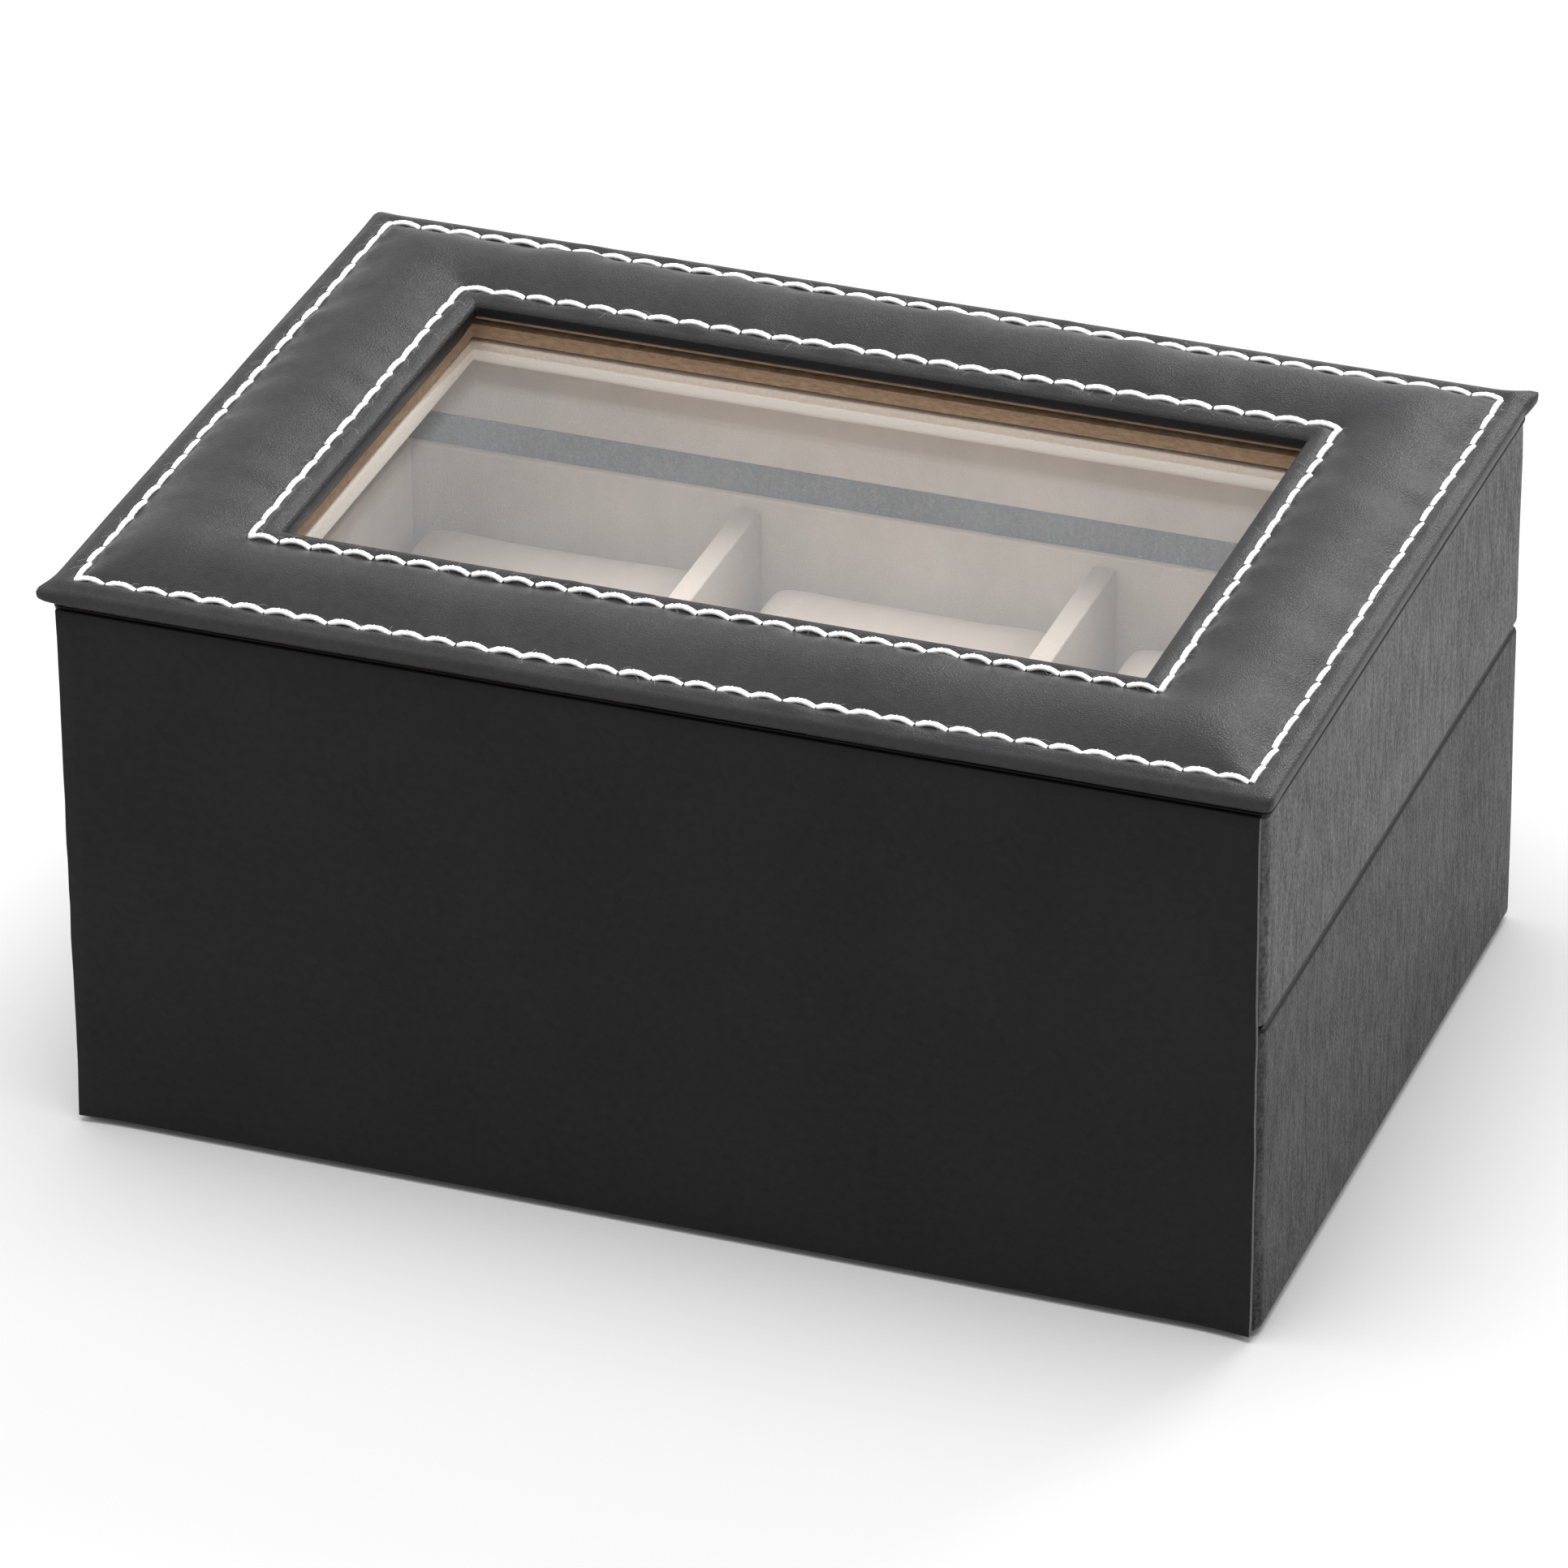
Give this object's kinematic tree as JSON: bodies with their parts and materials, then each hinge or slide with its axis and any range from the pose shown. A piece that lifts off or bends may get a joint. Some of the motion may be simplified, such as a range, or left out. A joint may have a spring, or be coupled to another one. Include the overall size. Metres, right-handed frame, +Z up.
{
  "type": "watch box",
  "caption": "Hinged watch box wrapped in dark leatherette, with a padded, stitched lid frame round a glass window and a velvet interior with dividers and lift-out pillows.",
  "frame": {"origin": "middle of the underside, on the surface the box stands on", "axes": "+X along the box's width, +Y from the hinge towards the side that opens, +Z up"},
  "size_m": [0.2018, 0.1398, 0.1],
  "materials": {
    "side_leatherette": "satin, upright streaked grain",
    "hinge_leatherette": "matte, nearly smooth",
    "frame_leatherette": "satin, fine pebbled grain, padded",
    "lining_velvet": "short-pile velvet, taupe",
    "pillow_velvet": "short-pile velvet, taupe",
    "fibreboard": "raw medium-density fibreboard",
    "greyboard": "raw stiff card",
    "foam": "open-cell foam sheet",
    "felt": "flocked sheet, black",
    "glass": "clear sheet glass, faintly hazy",
    "thread": "thick twisted thread, white"
  },
  "bodies": {
    "base": {"base_underside": "felt", "base_bottom_board": "fibreboard", "base_front_board": "fibreboard", "base_back_board": "fibreboard", "base_left_board": "fibreboard", "base_right_board": "fibreboard", "base_cover": "side_leatherette", "base_hinge_skin": "hinge_leatherette", "base_floor_lining": "lining_velvet", "base_front_lining": "lining_velvet", "base_back_lining": "lining_velvet", "base_left_lining": "lining_velvet", "base_right_lining": "lining_velvet", "long_divider_1": "lining_velvet", "cross_divider_1": "lining_velvet", "cross_divider_2": "lining_velvet", "inner_hinge_strip": "lining_velvet"},
    "lid": {"lid_front_board": "fibreboard", "lid_back_board": "fibreboard", "lid_left_board": "fibreboard", "lid_right_board": "fibreboard", "lid_cover": "side_leatherette", "lid_hinge_skin": "hinge_leatherette", "lid_top_board": "fibreboard", "window_pane": "glass", "pane_retainer": "lining_velvet", "lid_front_lining": "lining_velvet", "lid_back_lining": "lining_velvet", "lid_left_lining": "lining_velvet", "lid_right_lining": "lining_velvet", "frame_card": "greyboard", "frame_padding": "foam", "frame_leather": "frame_leatherette", "outer_stitching": "thread", "inner_stitching": "thread"},
    "pillow_1": {"pillow_1": "pillow_velvet"},
    "pillow_2": {"pillow_2": "pillow_velvet"},
    "pillow_3": {"pillow_3": "pillow_velvet"},
    "pillow_4": {"pillow_4": "pillow_velvet"},
    "pillow_5": {"pillow_5": "pillow_velvet"},
    "pillow_6": {"pillow_6": "pillow_velvet"}
  },
  "joints": [
    {"name": "lid_hinge", "type": "hinge", "parent": "base", "child": "lid", "pos_m": [0, -0.069, 0.056], "axis": [1, 0, 0], "range_deg": [0, 105], "deforming": ["inner_hinge_strip"]},
    {"name": "pillow_1_lift", "type": "slide", "parent": "base", "child": "pillow_1", "axis": [0, 0, 1], "range_m": [0, 0.035]},
    {"name": "pillow_2_lift", "type": "slide", "parent": "base", "child": "pillow_2", "axis": [0, 0, 1], "range_m": [0, 0.035]},
    {"name": "pillow_3_lift", "type": "slide", "parent": "base", "child": "pillow_3", "axis": [0, 0, 1], "range_m": [0, 0.035]},
    {"name": "pillow_4_lift", "type": "slide", "parent": "base", "child": "pillow_4", "axis": [0, 0, 1], "range_m": [0, 0.035]},
    {"name": "pillow_5_lift", "type": "slide", "parent": "base", "child": "pillow_5", "axis": [0, 0, 1], "range_m": [0, 0.035]},
    {"name": "pillow_6_lift", "type": "slide", "parent": "base", "child": "pillow_6", "axis": [0, 0, 1], "range_m": [0, 0.035]}
  ]
}
